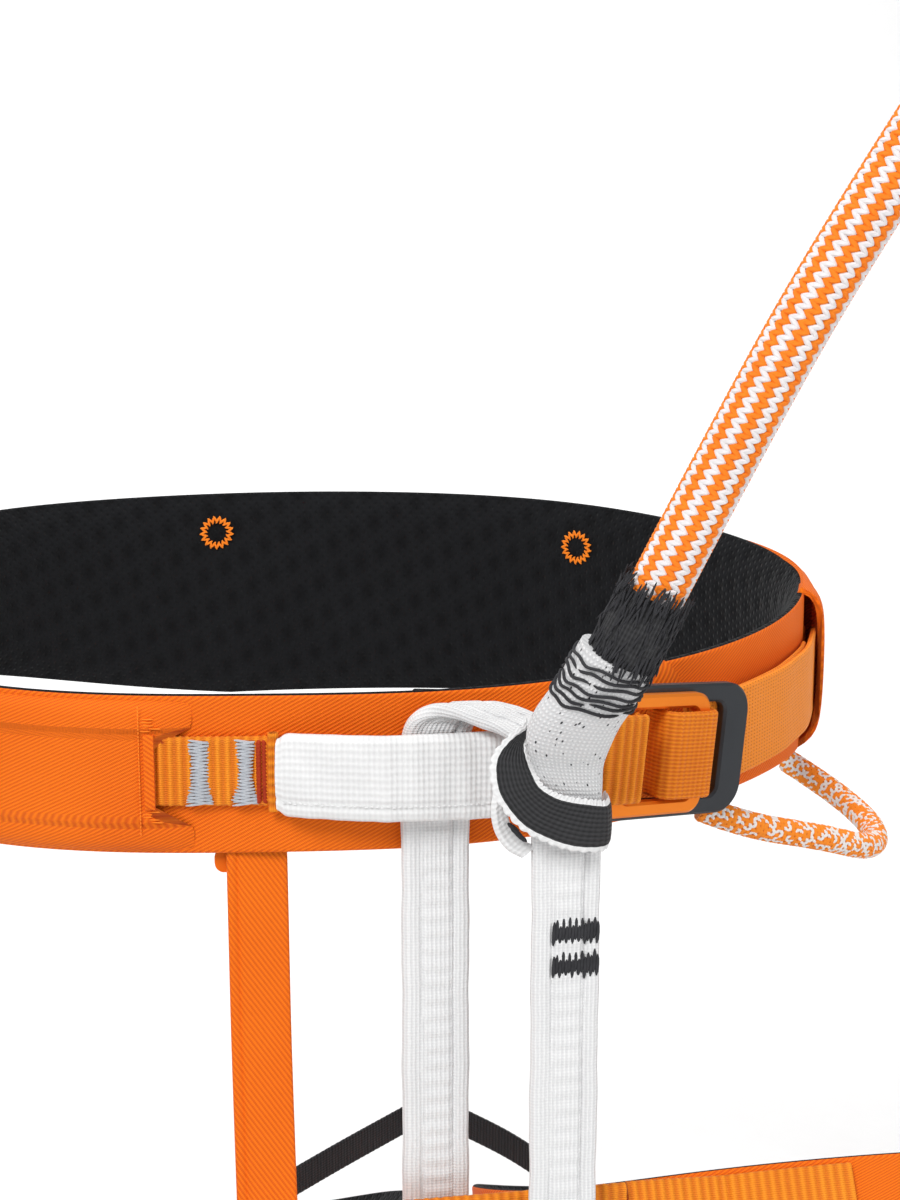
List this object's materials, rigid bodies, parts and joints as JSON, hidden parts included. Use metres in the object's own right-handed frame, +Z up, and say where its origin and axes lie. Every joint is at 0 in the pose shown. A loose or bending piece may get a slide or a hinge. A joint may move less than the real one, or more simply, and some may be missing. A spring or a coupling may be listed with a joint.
{
  "type": "tree climbing saddle",
  "caption": "Light climbing saddle: padded twill waist belt with double-back buckle, belay loop with a hitched rope lanyard, cord gear loops and hanging leg loops.",
  "frame": {"origin": "centre of the waist opening, at the middle of the front belt's height", "axes": "+Z up, the wearer faces -Y, +X is the wearer's left"},
  "size_m": [0.3394, 0.2762, 0.4155],
  "materials": {
    "orange_twill": "diagonal twill",
    "black_mesh": "dimpled mesh",
    "foam": "closed-cell foam",
    "orange_webbing": "ribbed webbing",
    "grey_thread": "bar tack thread",
    "red_thread": "thread",
    "orange_thread": "zigzag thread",
    "white_sheath": "woven",
    "black_weave": "woven",
    "orange_rope": "zigzag braid",
    "speckled_cord": "speckled braid",
    "grey_frame": "dark grey anodised",
    "orange_frame": "orange anodised",
    "thimble_metal": "satin",
    "black_shrink": "shrink tube",
    "black_elastic": "elastic webbing",
    "black_plastic": "moulded"
  },
  "bodies": {
    "belt": {"adjust_strap": "orange_webbing", "back_stitch_rings": "orange_thread", "belay_loop": "white_sheath", "belay_loop_marks": "black_weave", "belt_cover": "orange_twill", "belt_foam": "foam", "belt_lining": "black_mesh", "belt_shell": "orange_twill", "belt_tongue": "orange_twill", "buckle_anchor_webbing": "orange_webbing", "cover_hem_left": "orange_twill", "cover_hem_right": "orange_twill", "elastic_keeper": "black_plastic", "fold_stitch": "red_thread", "hitch_band": "black_weave", "lanyard_collar": "black_weave", "lanyard_end_sleeve": "black_shrink", "lanyard_eye_rope": "orange_rope", "lanyard_rope": "orange_rope", "lanyard_sleeve": "white_sheath", "lanyard_thimble": "thimble_metal", "lanyard_whipping": "black_weave", "leg_bridge": "orange_webbing", "load_webbing": "orange_webbing", "rear_branch_left": "black_elastic", "rear_branch_right": "black_elastic", "rear_elastic": "black_elastic", "riser_strap": "orange_twill", "riser_tab": "orange_twill", "strap_tail": "orange_webbing", "tie_in_sheath": "white_sheath", "tie_in_webbing": "orange_webbing", "webbing_bartacks": "grey_thread"},
    "buckle_frames": {"buckle_outer_frame": "grey_frame"},
    "buckle_inner": {"buckle_inner_frame": "orange_frame", "strap_fold": "orange_webbing"},
    "leg_loop_right": {"leg_shell_right": "orange_twill", "leg_foam_right": "foam", "leg_lining_right": "black_mesh", "leg_tab_right": "orange_webbing"},
    "leg_loop_left": {"leg_shell_left": "orange_twill", "leg_foam_left": "foam", "leg_lining_left": "black_mesh", "leg_tab_left": "orange_webbing"},
    "gear_loop_left_front_body": {"gear_loop_left_front": "speckled_cord"},
    "gear_loop_left_rear_body": {"gear_loop_left_rear": "speckled_cord"},
    "gear_loop_right_front_body": {"gear_loop_right_front": "speckled_cord"},
    "gear_loop_right_rear_body": {"gear_loop_right_rear": "speckled_cord"}
  },
  "joints": [
    {"name": "buckle_lift", "type": "hinge", "parent": "belt", "child": "buckle_frames", "pos_m": [0.02978, -0.09237, 0.00024], "axis": [-0.1081, -0.0563, -0.9925], "range_deg": [0, 16]},
    {"name": "inner_frame_tilt", "type": "hinge", "parent": "buckle_frames", "child": "buckle_inner", "pos_m": [0.03112, -0.09494, 0.00024], "axis": [-0.1081, -0.0563, -0.9925], "range_deg": [0, 3]},
    {"name": "leg_loop_right_swing", "type": "hinge", "parent": "belt", "child": "leg_loop_right", "pos_m": [0.006, -0.1, -0.107], "axis": [1, 0, 0], "range_deg": [-30, 0], "stiffness_Nm_per_rad": 0.15, "springref_deg": 25.78},
    {"name": "leg_loop_left_swing", "type": "hinge", "parent": "belt", "child": "leg_loop_left", "pos_m": [0.006, -0.1, -0.107], "axis": [1, 0, 0], "range_deg": [-30, 0], "stiffness_Nm_per_rad": 0.15, "springref_deg": 25.78},
    {"name": "gear_loop_left_front_swing", "type": "hinge", "parent": "belt", "child": "gear_loop_left_front_body", "pos_m": [0.0585, -0.0702, -0.0205], "axis": [0.5749, 0.8132, -0.09], "range_deg": [-3, 50], "stiffness_Nm_per_rad": 0.02, "springref_deg": -2.86},
    {"name": "gear_loop_left_rear_swing", "type": "hinge", "parent": "belt", "child": "gear_loop_left_rear_body", "pos_m": [0.0996, 0.0252, -0.0305], "axis": [-0.4681, 0.8819, -0.0558], "range_deg": [-12, 50], "stiffness_Nm_per_rad": 0.02, "springref_deg": -2.86},
    {"name": "gear_loop_right_front_swing", "type": "hinge", "parent": "belt", "child": "gear_loop_right_front_body", "pos_m": [-0.1155, -0.0616, -0.0238], "axis": [-0.4321, 0.9014, 0.0279], "range_deg": [-50, 10], "stiffness_Nm_per_rad": 0.02, "springref_deg": 2.86},
    {"name": "gear_loop_right_rear_swing", "type": "hinge", "parent": "belt", "child": "gear_loop_right_rear_body", "pos_m": [-0.1425, 0.0248, -0.0226], "axis": [0.2692, 0.9615, -0.0545], "range_deg": [-50, 12], "stiffness_Nm_per_rad": 0.02, "springref_deg": 2.86}
  ]
}
